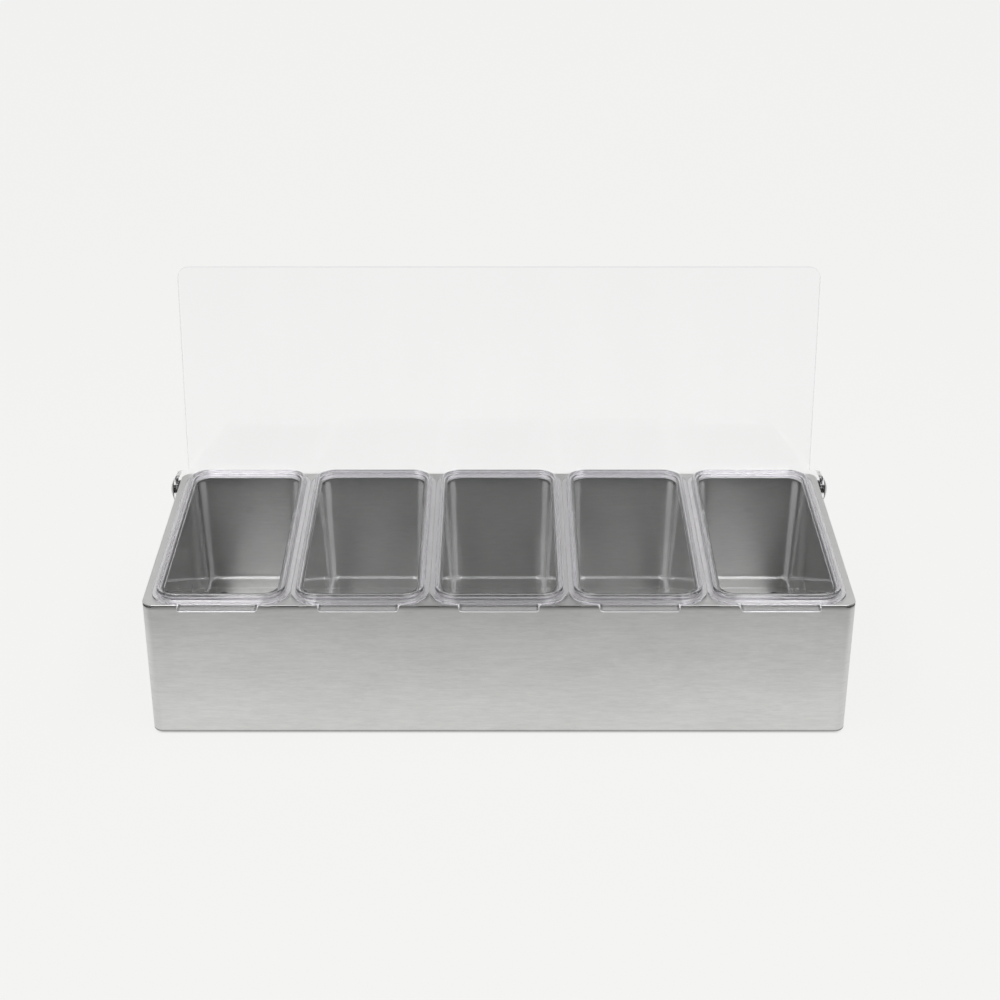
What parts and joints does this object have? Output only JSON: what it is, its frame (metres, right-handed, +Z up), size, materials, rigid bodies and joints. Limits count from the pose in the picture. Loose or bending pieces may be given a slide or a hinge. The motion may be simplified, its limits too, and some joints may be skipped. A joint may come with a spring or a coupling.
{
  "type": "condiment caddy",
  "caption": "Low stainless steel condiment caddy with a row of lift-out clear inserts and one clear cover hinged at the back, shown open.",
  "frame": {"origin": "on the table, under the middle of the whole caddy with its cover standing open", "axes": "+Z up, -Y to the front where the thumb tabs are, +X along the row of inserts"},
  "size_m": [0.49, 0.2316, 0.2579],
  "materials": {
    "brushed_steel": "brushed stainless sheet, grain along the length",
    "clear_insert": "clear moulded polycarbonate",
    "clear_cover": "clear polished sheet",
    "screw_steel": "polished stainless",
    "black_nylon": "moulded nylon",
    "foot_rubber": "matt rubber"
  },
  "bodies": {
    "caddy": {"body_shell": "brushed_steel", "top_frame": "brushed_steel", "bottom_pan": "brushed_steel", "pivot_screw_left": "screw_steel", "pivot_screw_right": "screw_steel", "head_washer_left": "black_nylon", "head_washer_right": "black_nylon", "spacer_washer_left": "black_nylon", "spacer_washer_right": "black_nylon", "inner_washer_left": "screw_steel", "inner_washer_right": "screw_steel", "lock_nut_left": "screw_steel", "lock_nut_right": "screw_steel", "foot_front_left": "foot_rubber", "foot_front_right": "foot_rubber", "foot_back_left": "foot_rubber", "foot_back_right": "foot_rubber"},
    "cover": {"cover": "clear_cover"},
    "insert_1": {"insert_1": "clear_insert"},
    "insert_2": {"insert_2": "clear_insert"},
    "insert_3": {"insert_3": "clear_insert"},
    "insert_4": {"insert_4": "clear_insert"},
    "insert_5": {"insert_5": "clear_insert"}
  },
  "joints": [
    {"name": "cover_hinge", "type": "hinge", "parent": "caddy", "child": "cover", "pos_m": [0, 0.0761, 0.0958], "axis": [-1, 0, 0], "range_deg": [-97.6, 0]},
    {"name": "insert_1_lift", "type": "slide", "parent": "caddy", "child": "insert_1", "axis": [0, 0, 1], "range_m": [0, 0.1]},
    {"name": "insert_2_lift", "type": "slide", "parent": "caddy", "child": "insert_2", "axis": [0, 0, 1], "range_m": [0, 0.1]},
    {"name": "insert_3_lift", "type": "slide", "parent": "caddy", "child": "insert_3", "axis": [0, 0, 1], "range_m": [0, 0.1]},
    {"name": "insert_4_lift", "type": "slide", "parent": "caddy", "child": "insert_4", "axis": [0, 0, 1], "range_m": [0, 0.1]},
    {"name": "insert_5_lift", "type": "slide", "parent": "caddy", "child": "insert_5", "axis": [0, 0, 1], "range_m": [0, 0.1]}
  ]
}
